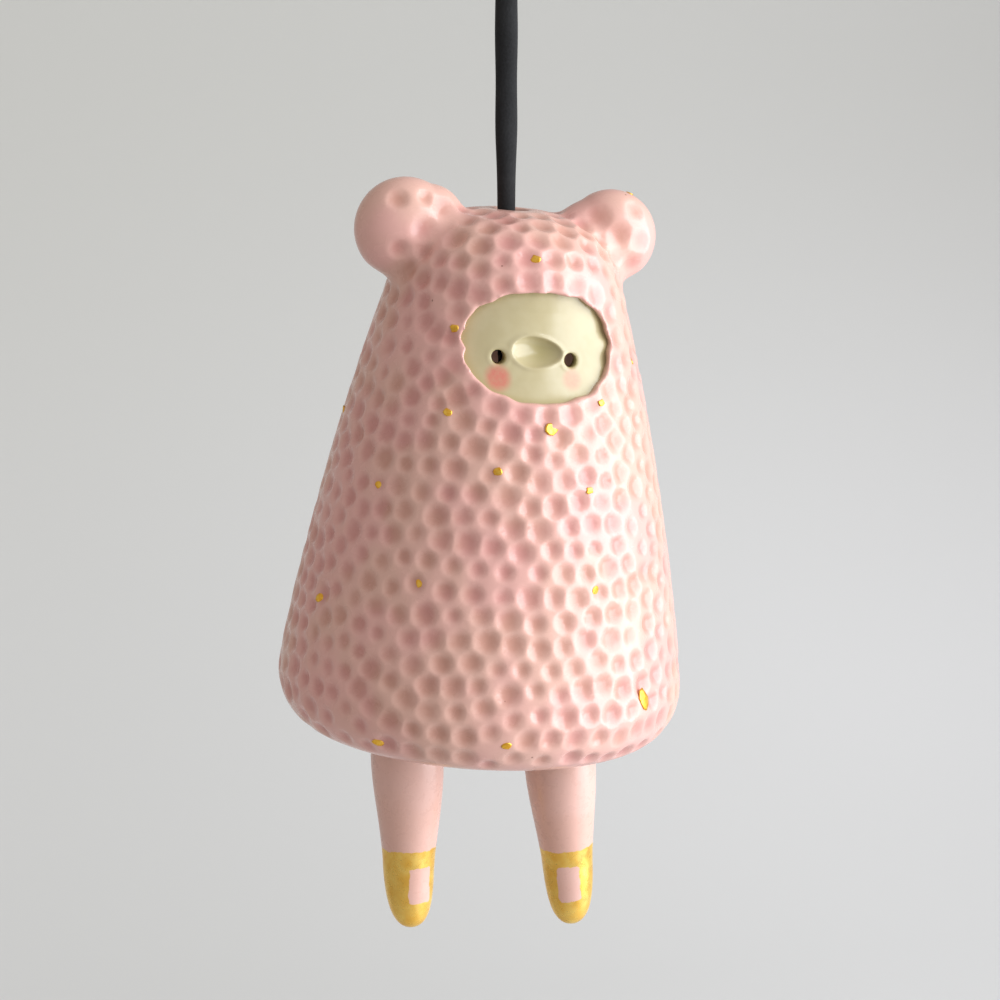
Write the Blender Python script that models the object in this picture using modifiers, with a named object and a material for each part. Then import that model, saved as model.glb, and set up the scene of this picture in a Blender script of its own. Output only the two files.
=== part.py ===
"""A hanging porcelain bell: an eared figure in a dimpled hood, whose two legs are the clappers.

Metres, +Z up. The origin is the top of the hanging loop's inside, where a hook carries it.
The cord and the legs hang plumb; the bell leans a little on its stopper bead.
"""

from math import cos, pi, radians, sin

import bmesh
import bpy
from mathutils import Matrix, Vector
from mathutils.geometry import interpolate_bezier

MM = 0.001
GAP = 0.3  # between pieces that touch

# Driving dimensions, in millimetres. Depths are measured down from the crown's top.
CROWN_BELOW_HOOK = 62.0
CORD_D = 2.7
LOOP_HALF_WIDTH = 4.6
KNOT_BELOW_HOOK = 25.0
KNOT_R = 4.0
END_KNOT_R = 2.6
END_KNOT_LENGTH = 5.6
END_KNOT_CORE = 0.6  # radius of the ring on which its side is drawn
CORD_TAIL = 4.4

BELL_LEAN = 4.0  # degrees, top towards +X
WALL = 2.8
HOLE_R = 2.5
SHOULDER = (18.0, 13.3)  # radius, depth
WIDEST = (30.4, 70.4)
LIP = (23.8, 78.3)
BELL_SEGMENTS = 40

FACE = (0.3, 18.0)  # x, depth
FACE_HALF = (11.0, 7.6)
FACE_SUNK = 1.3
FACE_CUT = (-18.0, 20.0)  # middle and length, along Y, of what cuts the opening and the plate
FACE_THICK = 2.4
EYES = {"left_eye": (-5.7, 19.6), "right_eye": (5.0, 19.8)}
EYE_D = 2.0
EYE_DRILL = 16.0  # long enough to go right through the plate
NOSE = (-0.1, 18.7)
NOSE_HALF = (3.7, 1.5, 1.9)
NOSE_DEEP = 1.1

EARS = {"left_ear": (-15.9, 3.5, 7.5), "right_ear": (15.7, 3.5, 7.0)}  # x, depth, radius
EAR_THICKNESS = 0.74  # of its width

WASHER_R = 5.2
WASHER_HOLE_R = 3.0
WASHER_TOP = 3.95
WASHER_THICK = 1.2
BEAD_R = 5.5
PIVOT_DEPTH = 10.1  # the bead's centre, on which the bell leans

BRIDGE_DEPTH = 56.0
BRIDGE_HALF_BLANK = 26.0  # before its ends are cut to the chamber
BRIDGE_R = 3.0
GROOVE_R = 2.4
GROOVE_WIDTH = 3.4
LEG_SPREAD = 12.4  # from the bell's axis to each leg's groove

THREAD_D = 0.9
THREAD_SLACK = 0.05  # between a thread or wire and what it presses on, besides the gap
WIRE_D = 0.8
TIE_Z = -8.6  # the tie's knot, from the bridge's axis
TIE_R = (1.5, 1.1)
TIE_LOOP_R = 1.3
TIE_LOOP_WIRE_R = 0.42
TIE_LOOP_DROP = 2.0  # its centre, below the knot's
EYE_Z = -10.75  # the wire eye's top, where the leg swings
WIRE_EYE_R = 1.7
LEG_TOP = -13.7
CALF = (5.5, 14.0)  # radius, distance below the leg's top
ANKLE = (4.0, 29.5)
LEG_LENGTH = 40.6
LEGS = {"left": (-1, 0.0, 0.0), "right": (1, 0.7, 4.5)}  # side, longer thread, lean in degrees

COLOURS = {
    "porcelain": ((0.86, 0.62, 0.58), 0.16, 0.0),
    "cream": ((0.83, 0.81, 0.69), 0.18, 0.0),
    "biscuit": ((0.82, 0.76, 0.70), 0.60, 0.0),
    "cord": ((0.035, 0.037, 0.038), 0.80, 0.0),
    "wood": ((0.50, 0.32, 0.18), 0.55, 0.0),
    "leather": ((0.30, 0.17, 0.10), 0.70, 0.0),
    "thread": ((0.72, 0.68, 0.60), 0.85, 0.0),
    "wire": ((0.42, 0.40, 0.38), 0.40, 1.0),
}


def new_collection(name):
    collection = bpy.data.collections.new(name)
    bpy.context.scene.collection.children.link(collection)
    return collection


def clear_scene():
    for ob in list(bpy.data.objects):
        bpy.data.objects.remove(ob, do_unlink=True)


def new_material(name):
    colour, roughness, metallic = COLOURS[name]
    material = bpy.data.materials.new(name)
    material.use_nodes = True
    shader = material.node_tree.nodes["Principled BSDF"]
    shader.inputs["Base Color"].default_value = (*colour, 1.0)
    shader.inputs["Roughness"].default_value = roughness
    shader.inputs["Metallic"].default_value = metallic
    return material


def add_empty(name, location, lean=0.0):
    """A frame at a location in millimetres, leaned about Y."""
    empty = bpy.data.objects.new(name, None)
    empty.location = Vector(location) * MM
    empty.rotation_euler = (0.0, radians(lean), 0.0)
    model.objects.link(empty)
    return empty


def add_object(name, data, material=None, parent=None, collection=None):
    ob = bpy.data.objects.new(name, data)
    (collection or model).objects.link(ob)
    ob.parent = parent
    if material:
        data.materials.append(materials[material])
    return ob


def as_cutter(ob):
    ob.hide_render = True
    ob.display_type = "WIRE"
    return ob


def bezier(start, handle_1, handle_2, end, points):
    """Points along one curved stretch of a (radius, depth) outline."""
    curve = interpolate_bezier(start, handle_1, handle_2, end, points)
    return [Vector((p.x, p.y)) for p in curve]


def bell_outline(offset=0.0):
    """The bell's outer (radius, depth) outline from its hole to the lip, moved in by offset."""
    bulge = 0.5523  # of a quarter ellipse's handles
    handle_r = WIDEST[0] - LIP[0]
    handle_d = LIP[1] - WIDEST[1]
    crown = bezier((HOLE_R, 0.0), (13.6, 0.0), (16.4, 6.0), SHOULDER, 8)
    side = bezier(SHOULDER, (24.8, 35.0), (WIDEST[0], 66.0), WIDEST, 9)
    under = bezier(
        WIDEST,
        (WIDEST[0], WIDEST[1] + bulge * handle_d),
        (LIP[0] + bulge * handle_r, LIP[1]),
        LIP,
        6,
    )
    points = crown + side[1:] + under[1:]
    moved = []
    for i, point in enumerate(points):
        along = (points[min(i + 1, len(points) - 1)] - points[max(i - 1, 0)]).normalized()
        inward = Vector((-along.y, along.x))
        if i == 0:
            inward = Vector((0.0, 1.0))
        moved.append(point + inward * offset)
    return moved


def former_outline(offset):
    """The same outline closed across the hole and the mouth, for a solid former."""
    return [Vector((0.0, offset))] + bell_outline(offset) + [Vector((0.0, LIP[1]))]


def front_of(outline, depth):
    """How far forward of the axis an outline stands at a depth."""
    for above, below in zip(outline, outline[1:]):
        if above.y <= depth <= below.y:
            share = (depth - above.y) / (below.y - above.y)
            return above.x + share * (below.x - above.x)
    raise ValueError(depth)


def arc(centre, radius, start, end, points):
    """Points on a (radius, depth) arc, angles in degrees from +radius towards +depth."""
    steps = [radians(start + (end - start) * i / (points - 1)) for i in range(points)]
    return [Vector((centre[0] + radius * cos(a), centre[1] + radius * sin(a))) for a in steps]


def turned(name, outline, segments, closed=False, z0=0.0):
    """A Screw-modified object from a (radius, depth) outline in millimetres."""
    mesh = bpy.data.meshes.new(name)
    verts = [(max(p[0], 0.0) * MM, 0.0, (z0 - p[1]) * MM) for p in outline]
    edges = [(i, i + 1) for i in range(len(verts) - 1)]
    if closed:
        edges.append((len(verts) - 1, 0))
    mesh.from_pydata(verts, edges, [])
    ob = bpy.data.objects.new(name, mesh)
    screw = ob.modifiers.new("Screw", "SCREW")
    screw.axis = "Z"
    screw.steps = segments
    screw.render_steps = segments
    screw.use_merge_vertices = True
    screw.merge_threshold = 0.00002
    screw.use_smooth_shade = True
    return ob


def place(ob, material=None, parent=None, collection=None, location=(0.0, 0.0, 0.0)):
    (collection or model).objects.link(ob)
    ob.parent = parent
    ob.location = Vector(location) * MM
    if material:
        ob.data.materials.append(materials[material])
    return ob


def cut(ob, cutter, operation="DIFFERENCE"):
    boolean = ob.modifiers.new(cutter.name, "BOOLEAN")
    boolean.operation = operation
    boolean.solver = "EXACT"
    boolean.object = cutter


def ball(name, radii, centre, segments=24, rings=14):
    """An ellipsoid mesh, its size applied, in millimetres."""
    mesh = bpy.data.meshes.new(name)
    bm = bmesh.new()
    bmesh.ops.create_uvsphere(bm, u_segments=segments, v_segments=rings, radius=1.0)
    bmesh.ops.scale(bm, vec=Vector(radii) * MM, verts=bm.verts)
    bmesh.ops.translate(bm, vec=Vector(centre) * MM, verts=bm.verts)
    bm.to_mesh(mesh)
    bm.free()
    mesh.shade_smooth()
    return mesh


def rod_along_y(name, radii, centre, length, segments=32):
    """A cylinder of elliptic section along Y, in millimetres."""
    mesh = bpy.data.meshes.new(name)
    bm = bmesh.new()
    bmesh.ops.create_cone(bm, cap_ends=True, segments=segments, radius1=1.0, radius2=1.0, depth=1.0)
    bmesh.ops.scale(bm, vec=Vector((radii[0], radii[1], length)) * MM, verts=bm.verts)
    bmesh.ops.rotate(bm, matrix=Matrix.Rotation(pi / 2, 3, "X"), verts=bm.verts)
    bmesh.ops.translate(bm, vec=Vector(centre) * MM, verts=bm.verts)
    bm.to_mesh(mesh)
    bm.free()
    return mesh


def tube(name, points, diameter, material, parent=None, sides=2):
    """A cord or wire along points in millimetres, as a curve with filled caps."""
    curve = bpy.data.curves.new(name, "CURVE")
    curve.dimensions = "3D"
    curve.bevel_depth = diameter / 2 * MM
    curve.bevel_resolution = sides
    curve.use_fill_caps = True
    spline = curve.splines.new("POLY")
    spline.points.add(len(points) - 1)
    for spot, point in zip(spline.points, points):
        spot.co = (*(Vector(point) * MM), 1.0)
    return add_object(name, curve, material, parent)


def make_shell(bell):
    """The hollow body, open at the mouth and the face, with a hole in its crown."""
    outer = bell_outline()
    inner = bell_outline(WALL)
    half = WALL / 2
    lip = arc((LIP[0], LIP[1] - half), half, 90.0, 270.0, 5)
    outline = outer + lip[1:-1] + inner[::-1]
    shell = place(turned("bell_shell", outline, BELL_SEGMENTS, closed=True), "porcelain", bell)
    opening = rod_along_y("face_opening", FACE_HALF, (FACE[0], FACE_CUT[0], -FACE[1]), FACE_CUT[1])
    cut(shell, as_cutter(add_object("face_opening", opening, parent=bell, collection=cutters)))


def make_face(bell):
    """The smooth plate sunk in the hood's opening, with pierced eyes and a dent for the nose."""
    front = [p for p in bell_outline(FACE_SUNK) if 4.0 < p.y < 45.0]
    back = [p for p in bell_outline(FACE_SUNK + FACE_THICK) if 4.0 < p.y < 45.0]
    panel = turned("face_panel", front + back[::-1], 2 * BELL_SEGMENTS, closed=True)
    place(panel, "cream", bell)
    rim = [half - GAP for half in FACE_HALF]
    blank = rod_along_y("face_blank", rim, (FACE[0], FACE_CUT[0], -FACE[1]), FACE_CUT[1])
    blank = as_cutter(add_object("face_blank", blank, parent=bell, collection=cutters))
    cut(panel, blank, "INTERSECT")
    for name, (x, depth) in EYES.items():
        hole = rod_along_y(name, (EYE_D / 2, EYE_D / 2), (x, FACE_CUT[0], -depth), EYE_DRILL, 12)
        cut(panel, as_cutter(add_object(name, hole, parent=bell, collection=cutters)))
    nose_y = NOSE_DEEP - NOSE_HALF[1] - front_of(front, NOSE[1])
    dent = ball("nose_former", NOSE_HALF, (NOSE[0], nose_y, -NOSE[1]), 16, 10)
    cut(panel, as_cutter(add_object("nose_former", dent, parent=bell, collection=cutters)))


def make_ears(bell):
    """Two round clay ears whose bases follow the head."""
    former = turned("head_former", former_outline(-GAP), BELL_SEGMENTS)
    former = as_cutter(place(former, parent=bell, collection=cutters))
    for name, (x, depth, radius) in EARS.items():
        radii = (radius, radius * EAR_THICKNESS, radius)
        ear = add_object(name, ball(name, radii, (x, 0.0, -depth), 24, 14), "porcelain", bell)
        cut(ear, former)


def make_stopper(hanger):
    """What holds the bell up: a leather washer on a wooden bead, over the cord's end knot."""
    pivot = (0.0, 0.0, CROWN_Z - PIVOT_DEPTH)
    outline = [
        (WASHER_HOLE_R, WASHER_TOP),
        (WASHER_R, WASHER_TOP),
        (WASHER_R, WASHER_TOP + WASHER_THICK),
        (WASHER_HOLE_R, WASHER_TOP + WASHER_THICK),
    ]
    place(turned("stopper_washer", outline, 24, closed=True), "leather", hanger)
    bore = CORD_D / 2 + GAP
    top = degrees_at(bore, BEAD_R)
    bead = arc((0.0, 0.0), BEAD_R, top - 90.0, 90.0 - top, 9)
    place(turned("stopper_bead", bead, 20, closed=True), "wood", None, location=pivot)
    knot_top = PIVOT_DEPTH + BEAD_R + GAP
    knot_end = knot_top + END_KNOT_LENGTH
    tail_r = CORD_D / 2
    tail_end = knot_end + CORD_TAIL
    knot = [(0.0, knot_top), (tail_r, knot_top)]
    knot += arc((END_KNOT_CORE, knot_top + END_KNOT_R), END_KNOT_R, -62.0, 68.0, 6)
    knot += [(tail_r, knot_end), (tail_r, tail_end), (0.0, tail_end)]
    place(turned("stopper_knot", knot, 16, z0=CROWN_Z), "cord")


def degrees_at(reach, radius):
    """The angle off the axis where a sphere has that distance from its axis."""
    return Vector((0.0, 1.0)).angle(Vector((reach, (radius**2 - reach**2) ** 0.5))) * 180 / pi


def make_cord():
    """The cord from its end knot up through the crown, the knot under the hook, and the loop."""
    low = CROWN_Z - PIVOT_DEPTH - BEAD_R
    high = -KNOT_BELOW_HOOK - KNOT_R - GAP
    steps = 9
    points = [(0.0, 0.0, low + (high - low) * i / steps) for i in range(steps + 1)]
    tube("hanging_cord", points, CORD_D, "cord")
    knot = ball("loop_knot", (KNOT_R, KNOT_R * 0.85, KNOT_R), (0.0, 0.0, -KNOT_BELOW_HOOK), 16, 10)
    add_object("loop_knot", knot, "cord")
    foot = -KNOT_BELOW_HOOK + KNOT_R + GAP
    half = LOOP_HALF_WIDTH
    centre = CORD_D / 2 - half
    right = bezier((1.6, foot), (1.9, foot + 3.0), (half, centre - 8.0), (half, centre), 8)
    over = [Vector((half * cos(a), centre + half * sin(a))) for a in arch_angles(9)]
    left = [Vector((-p.x, p.y)) for p in reversed(right)]
    points = [(p.x, 0.0, p.y) for p in right[:-1] + over + left[1:]]
    tube("hanging_loop", points, CORD_D, "cord")


def arch_angles(count):
    return [pi * i / (count - 1) for i in range(count)]


def make_bridge(bell):
    """The clay bar across the inside, grooved where the legs' threads go round it."""
    half_groove = GROOVE_WIDTH / 2
    chamfer = BRIDGE_R - GROOVE_R
    outline = [(0.0, -BRIDGE_HALF_BLANK), (BRIDGE_R, -BRIDGE_HALF_BLANK)]
    for x in (-LEG_SPREAD, LEG_SPREAD):
        outline += [
            (BRIDGE_R, x - half_groove - chamfer),
            (GROOVE_R, x - half_groove),
            (GROOVE_R, x + half_groove),
            (BRIDGE_R, x + half_groove + chamfer),
        ]
    outline += [(BRIDGE_R, BRIDGE_HALF_BLANK), (0.0, BRIDGE_HALF_BLANK)]
    bridge = place(turned("clapper_bridge", outline, 20), "biscuit", bell)
    bridge.location = Vector((0.0, 0.0, -BRIDGE_DEPTH)) * MM
    bridge.rotation_euler = (0.0, -pi / 2, 0.0)
    room = turned("chamber_former", former_outline(WALL + GAP), BELL_SEGMENTS)
    room = as_cutter(place(room, parent=bell, collection=cutters))
    cut(bridge, room, "INTERSECT")


def leg_outline():
    """The leg's (radius, depth) outline: a round top, a full calf, an ankle and a round toe."""
    top = bezier((0.0, 0.0), (3.2, 0.0), (4.8, 1.2), (5.0, 5.0), 6)
    thigh = bezier((5.0, 5.0), (5.2, 8.0), (CALF[0], 11.0), CALF, 4)
    shin = bezier(CALF, (CALF[0], 19.0), (4.5, 24.0), ANKLE, 5)
    toe = bezier(ANKLE, (3.75, 34.5), (3.6, LEG_LENGTH), (0.0, LEG_LENGTH), 8)
    return top + thigh[1:] + shin[1:] + toe[1:]


def make_leg(name, hang, drop, lean):
    """A leg on its thread: the loop over the bridge, the tie, the wire eye and the leg itself."""
    thread_frame = add_empty(name + "_thread_pivot", hang)
    over = GROOVE_R + GAP + THREAD_D / 2 + THREAD_SLACK
    foot = TIE_Z - drop + TIE_R[1] + GAP
    down = bezier((over, 0.0), (over, -2.6), (1.4, foot + 2.2), (0.65, foot), 6)
    loop = [Vector((over * cos(a), over * sin(a))) for a in arch_angles(9)]
    right = [Vector((p.x, p.y)) for p in reversed(down[1:])]
    left = [Vector((-p.x, p.y)) for p in down[1:]]
    points = [(0.0, p.x, p.y) for p in right + loop + left]
    tube(name + "_leg_thread", points, THREAD_D, "thread", thread_frame)

    leg_frame = add_empty(name + "_leg_pivot", (hang.x, hang.y, hang.z + EYE_Z - drop))
    tie_z = TIE_Z - EYE_Z
    knot = ball(name + "_leg_tie", (TIE_R[0], TIE_R[0], TIE_R[1]), (0.0, 0.0, tie_z), 12, 8)
    tie = add_object(name + "_leg_tie", knot, "thread", leg_frame)
    section = arc((TIE_LOOP_R, 0.0), TIE_LOOP_WIRE_R, 0.0, 315.0, 8)
    ring = turned(name + "_tie_loop", section, 16, closed=True)
    place(as_cutter(ring), parent=leg_frame, collection=cutters, location=(0.0, 0.0, tie_z - TIE_LOOP_DROP))
    ring.rotation_euler = (0.0, pi / 2, 0.0)
    cut(tie, ring, "UNION")

    arch = [(WIRE_EYE_R * cos(a), 0.0, WIRE_EYE_R * (sin(a) - 1.0)) for a in arch_angles(9)]
    foot = LEG_TOP - EYE_Z + WIRE_D / 2 + THREAD_SLACK
    feet = [(WIRE_EYE_R, 0.0, foot), (-WIRE_EYE_R, 0.0, foot)]
    tube(name + "_leg_eye", feet[:1] + arch + feet[1:], WIRE_D, "wire", leg_frame)

    leg = place(turned(name + "_leg", leg_outline(), 24), "porcelain", leg_frame)
    lean_away = LEG_LENGTH / 2 * sin(radians(lean))
    leg.location = Vector((-lean_away, 0.0, LEG_TOP - EYE_Z)) * MM
    leg.rotation_euler = (0.0, -radians(lean), 0.0)


clear_scene()
model = new_collection("porcelain_bell")
cutters = new_collection("cutters")
materials = {name: new_material(name) for name in COLOURS}

CROWN_Z = -CROWN_BELOW_HOOK
lean_turn = Matrix.Rotation(radians(BELL_LEAN), 3, "Y")
pivot = Vector((0.0, 0.0, CROWN_Z - PIVOT_DEPTH))
crown = pivot + lean_turn @ Vector((0.0, 0.0, PIVOT_DEPTH))
bell_frame = add_empty("bell_frame", crown, BELL_LEAN)

make_cord()
make_stopper(bell_frame)
make_shell(bell_frame)
make_face(bell_frame)
make_ears(bell_frame)
make_bridge(bell_frame)
for leg_name, (leg_side, leg_drop, leg_lean) in LEGS.items():
    groove = crown + lean_turn @ Vector((leg_side * LEG_SPREAD, 0.0, -BRIDGE_DEPTH))
    make_leg(leg_name, groove, leg_drop, leg_lean)
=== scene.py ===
"""The looks of the hanging porcelain bell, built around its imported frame. Metres, +Z up.

Pieces are shaped in millimetres, in the bell's own frame (crown at the origin, axis along Z) or
in a leg's, and are then put in place. Depths are measured down from the crown's top.
"""

from math import atan2, cos, hypot, pi, radians, sin
from random import Random

import bmesh
import bpy
import numpy as np
from mathutils import Matrix, Vector
from mathutils.bvhtree import BVHTree
from mathutils.geometry import interpolate_bezier
from mathutils.kdtree import KDTree


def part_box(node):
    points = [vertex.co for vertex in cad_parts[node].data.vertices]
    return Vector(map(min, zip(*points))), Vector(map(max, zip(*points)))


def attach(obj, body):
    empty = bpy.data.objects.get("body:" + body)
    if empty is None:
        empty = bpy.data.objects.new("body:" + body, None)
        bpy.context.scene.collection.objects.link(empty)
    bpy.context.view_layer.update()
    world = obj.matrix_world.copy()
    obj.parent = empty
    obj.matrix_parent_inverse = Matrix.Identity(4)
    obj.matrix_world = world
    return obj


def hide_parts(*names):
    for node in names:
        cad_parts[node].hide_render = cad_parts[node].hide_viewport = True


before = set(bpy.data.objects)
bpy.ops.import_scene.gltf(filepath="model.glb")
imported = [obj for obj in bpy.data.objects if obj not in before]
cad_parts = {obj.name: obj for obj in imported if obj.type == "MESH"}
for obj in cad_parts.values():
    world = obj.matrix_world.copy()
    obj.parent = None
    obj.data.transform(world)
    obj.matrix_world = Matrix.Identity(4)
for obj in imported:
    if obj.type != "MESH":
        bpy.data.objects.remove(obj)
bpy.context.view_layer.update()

MM = 0.001

# The camera: degrees from the front, which is -Y, towards +X, and degrees down.
VIEW_AZIMUTH = -17.0
VIEW_PITCH = 12.0
VIEW_DISTANCE = 0.40
LENS = 96.0
AIM_BELOW_CROWN = 0.04367
AIM_SIDE = -0.00092
LIT_POINT = (0.0, 0.0, -0.1)

# The bell's dimensions, as in the CAD source.
GAP = 0.3  # between pieces that touch
BELL_LEAN = 4.0  # degrees, top towards +X
PIVOT_DEPTH = 10.1
WALL = 2.8
HOLE_R = 2.5
SHOULDER = (18.0, 13.3)  # radius, depth
WIDEST = (30.4, 70.4)
LIP = (23.8, 78.3)
FACE = (0.3, 18.0)  # x, depth
FACE_HALF = (11.0, 7.6)
FACE_POWER = 2.25
FACE_SUNK = 1.3
FACE_THICK = 2.4
FACE_OVERLAP = 0.5  # how far the plate reaches into the opening's wall
EYES = [(-5.7, 19.6), (5.0, 19.8)]
EYE_R = 1.0
CHEEKS = [(-5.9, 22.4, 1.8, 0.95), (5.1, 22.4, 1.5, 0.5)]  # x, depth, radius, strength
NOSE = (-0.05, 18.75)
NOSE_HALF = (3.75, 2.15)
NOSE_DEEP = 1.3
EARS = {"left": (-15.9, 3.5, 7.5), "right": (15.7, 3.5, 7.0)}  # x, depth, radius
EAR_THICKNESS = 0.74  # of its width
EAR_ROOTS = [(-12.9, 3.3, 6.5), (12.4, 4.2, 6.1)]  # clay smoothed between each ear and the head
EAR_FILLET = 5.0  # how far from the crease the smoothing reaches
WINDOW_ROUND = 1.3

# The pressed dimples.
DIMPLE_PITCH = 3.95
DIMPLE_R = (1.5, 2.3)  # smallest, largest
DIMPLE_DEEP = (0.3, 0.8)
DIMPLES_FROM = 4.2  # reach along the outline from the hole
DIMPLES_END = 3.2  # and how far above the lip they stop
RING_DIMPLES = 19  # round the face's opening
EAR_DIMPLES = {  # across and up from the ear's centre, radius
    "left": [
        (4.3, 3.7, 1.8), (1.3, 0.6, 1.9), (4.2, -0.9, 1.7), (0.3, -5.8, 1.8), (1.9, 5.0, 1.3),
        (-2.4, 4.6, 1.5), (-2.0, -2.6, 1.4),
    ],
    "right": [
        (-3.4, 3.1, 1.9), (-0.3, 0.7, 1.8), (3.2, -0.2, 1.7), (2.3, -3.4, 1.7), (2.4, 4.5, 1.6),
        (-2.6, -2.5, 1.5),
    ],
}
VOXEL = 0.4
HOOD_FACES = 195000  # the most triangles

FLECKS = [  # angle round the bell from its front, depth, length, width
    (90.0, -3.0, 1.3, 1.0), (-2.0, 5.8, 1.3, 1.1), (-39.0, 16.0, 1.2, 1.1), (-36.0, 27.5, 1.2, 1.0),
    (3.0, 29.0, 1.8, 1.5), (-16.0, 35.0, 1.3, 1.0), (-59.0, 39.0, 1.2, 1.1), (17.0, 37.5, 1.0, 0.9),
    (26.0, 25.5, 1.1, 0.9), (-38.0, 51.5, 1.0, 1.4), (-76.0, 57.0, 1.2, 1.3),
    (18.0, 51.5, 1.6, 1.4), (35.0, 68.0, 1.7, 2.8), (-46.0, 75.0, 1.7, 1.0),
    (-9.0, 73.0, 1.3, 1.0), (56.0, 20.5, 1.0, 0.9),
]
FLECK_LAYERS = ((-0.12, 1.0), (0.06, 1.0), (0.11, 0.75))  # height over the glaze, share of its size
FLECKS_BEHIND = 26

# What hangs in the bell.
WASHER = (3.0, 5.2, 3.95, 1.2)  # hole radius, radius, depth of its top, thickness
BEAD_R = 5.5
CORD_D = 2.7
KNOT_BELOW_HOOK = 25.0
KNOT_R = 4.0
LOOP_HALF_WIDTH = 4.6
LOOP_KNOT = {"coil_r": 2.4, "lace_r": 1.2, "levels": (-28.2, -21.1), "turns": 2.9, "flat": 0.86}
END_KNOT = {"coil_r": 1.75, "lace_r": 1.1, "turns": 1.75, "flat": 1.0}
END_KNOT_LEVELS = (-4.9, -1.1)  # from the bead's underside
CORD_TAIL = 9.6  # from inside the knot to the tail's end
BRIDGE_DEPTH = 56.0
BRIDGE_R = 3.0
GROOVE_R = 2.4
GROOVE_WIDTH = 3.4
LEG_SPREAD = 12.4
THREAD_D = 0.9
THREAD_SLACK = 0.05
TIE_Z = -8.6  # the tie's knot, from the bridge's axis
TIE_R = (1.5, 1.1)
TIE_LOOP_R = 1.3
TIE_LOOP_DROP = 2.0  # its centre, below the knot's
EYE_Z = -10.75
WIRE_EYE_R = 1.7
WIRE_D = 0.8
LEG_TOP = -13.7
CALF = (5.5, 14.0)
ANKLE = (4.0, 29.5)
LEG_LENGTH = 40.6
LEGS = {  # side, longer thread, lean, and where the shoe points, in degrees from the front
    "left": (-1, 0.0, 0.0, 13.0),
    "right": (1, 0.7, 4.5, -17.0),
}
STRAP_TOP = 27.7  # the shoe's paint, from the leg's top
STRAP_BOTTOM = 30.3
INSTEP_BOTTOM = 36.0
INSTEP_HALF = 1.85
INSTEP_CORNER = 0.5
TOE_FORWARD = 0.7


def srgb(red, green, blue):
    """A display colour, 0 to 255, as a linear RGBA."""
    parts = [c / 255 for c in (red, green, blue)]
    linear = [c / 12.92 if c < 0.04045 else ((c + 0.055) / 1.055) ** 2.4 for c in parts]
    return (*linear, 1.0)


# ---------------- outlines and meshes


def bezier(start, handle_1, handle_2, end, points):
    return [(p.x, p.y) for p in interpolate_bezier(start, handle_1, handle_2, end, points)]


def bell_outline(offset=0.0):
    """The bell's (radius, depth) outline from its hole to the lip, moved in by offset."""
    bulge = 0.5523  # of a quarter ellipse's handles
    handle_r = WIDEST[0] - LIP[0]
    handle_d = LIP[1] - WIDEST[1]
    crown = bezier((HOLE_R, 0.0), (13.6, 0.0), (16.4, 6.0), SHOULDER, 30)
    side = bezier(SHOULDER, (24.8, 35.0), (WIDEST[0], 66.0), WIDEST, 60)
    handles = (WIDEST[0], WIDEST[1] + bulge * handle_d), (LIP[0] + bulge * handle_r, LIP[1])
    under = bezier(WIDEST, *handles, LIP, 20)
    points = np.array(crown + side[1:] + under[1:])
    along = np.gradient(points, axis=0)
    along /= np.linalg.norm(along, axis=1)[:, None]
    inward = np.stack([-along[:, 1], along[:, 0]], axis=1)
    inward[0] = (0.0, 1.0)
    return points + inward * offset


OUTLINE = bell_outline()
REACH = np.concatenate([[0.0], np.cumsum(np.linalg.norm(np.diff(OUTLINE, axis=0), axis=1))])


def radius_at(depth):
    """The bell's outer radius at a depth."""
    return np.interp(depth, OUTLINE[:, 1], OUTLINE[:, 0])


def on_front(x, depth, sunk=0.0):
    """A point of the bell's front, sunk below its surface."""
    return Vector((x, -max((radius_at(depth) - sunk) ** 2 - x * x, 0.0) ** 0.5, -depth))


def turned(name, outline, segments=96, closed=False):
    """An object turned about Z from a (radius, depth) outline."""
    bm = bmesh.new()
    ring = [bm.verts.new((max(r, 0.0), 0.0, -d)) for r, d in outline]
    edges = [bm.edges.new(pair) for pair in zip(ring, ring[1:])]
    if closed:
        edges.append(bm.edges.new((ring[-1], ring[0])))
    bmesh.ops.spin(
        bm, geom=ring + edges, axis=(0, 0, 1), angle=2 * pi, steps=segments, use_merge=True
    )
    bmesh.ops.remove_doubles(bm, verts=bm.verts, dist=1e-4)
    return solid_object(name, bm)


def bm_object(name, bm):
    mesh = bpy.data.meshes.new(name)
    bm.to_mesh(mesh)
    bm.free()
    ob = bpy.data.objects.new(name, mesh)
    bpy.context.scene.collection.objects.link(ob)
    return ob


def solid_object(name, bm):
    """An object from a closed mesh, its faces all turned outwards."""
    bmesh.ops.recalc_face_normals(bm, faces=bm.faces)
    return bm_object(name, bm)


def superellipse(half, power, points, grow=0.0):
    """Points (x, z) of a superellipse round the origin."""

    def bent(size, c):
        return (size + grow) * np.sign(c) * abs(c) ** (2 / power)

    steps = [2 * pi * i / points for i in range(points)]
    return [(bent(half[0], cos(a)), bent(half[1], sin(a))) for a in steps]


def prism(name, outline, y0, y1):
    """A closed prism along Y from (x, z) points."""
    bm = bmesh.new()
    face = bm.faces.new([bm.verts.new((x, y0, z)) for x, z in outline])
    extruded = bmesh.ops.extrude_face_region(bm, geom=[face])["geom"]
    tops = [g for g in extruded if isinstance(g, bmesh.types.BMVert)]
    bmesh.ops.translate(bm, vec=(0, y1 - y0, 0), verts=tops)
    return solid_object(name, bm)


def ball(name, radii, centre, level=5):
    bm = bmesh.new()
    bmesh.ops.create_icosphere(bm, subdivisions=level, radius=1.0)
    bmesh.ops.scale(bm, vec=radii, verts=bm.verts)
    bmesh.ops.translate(bm, vec=centre, verts=bm.verts)
    return bm_object(name, bm)


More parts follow.
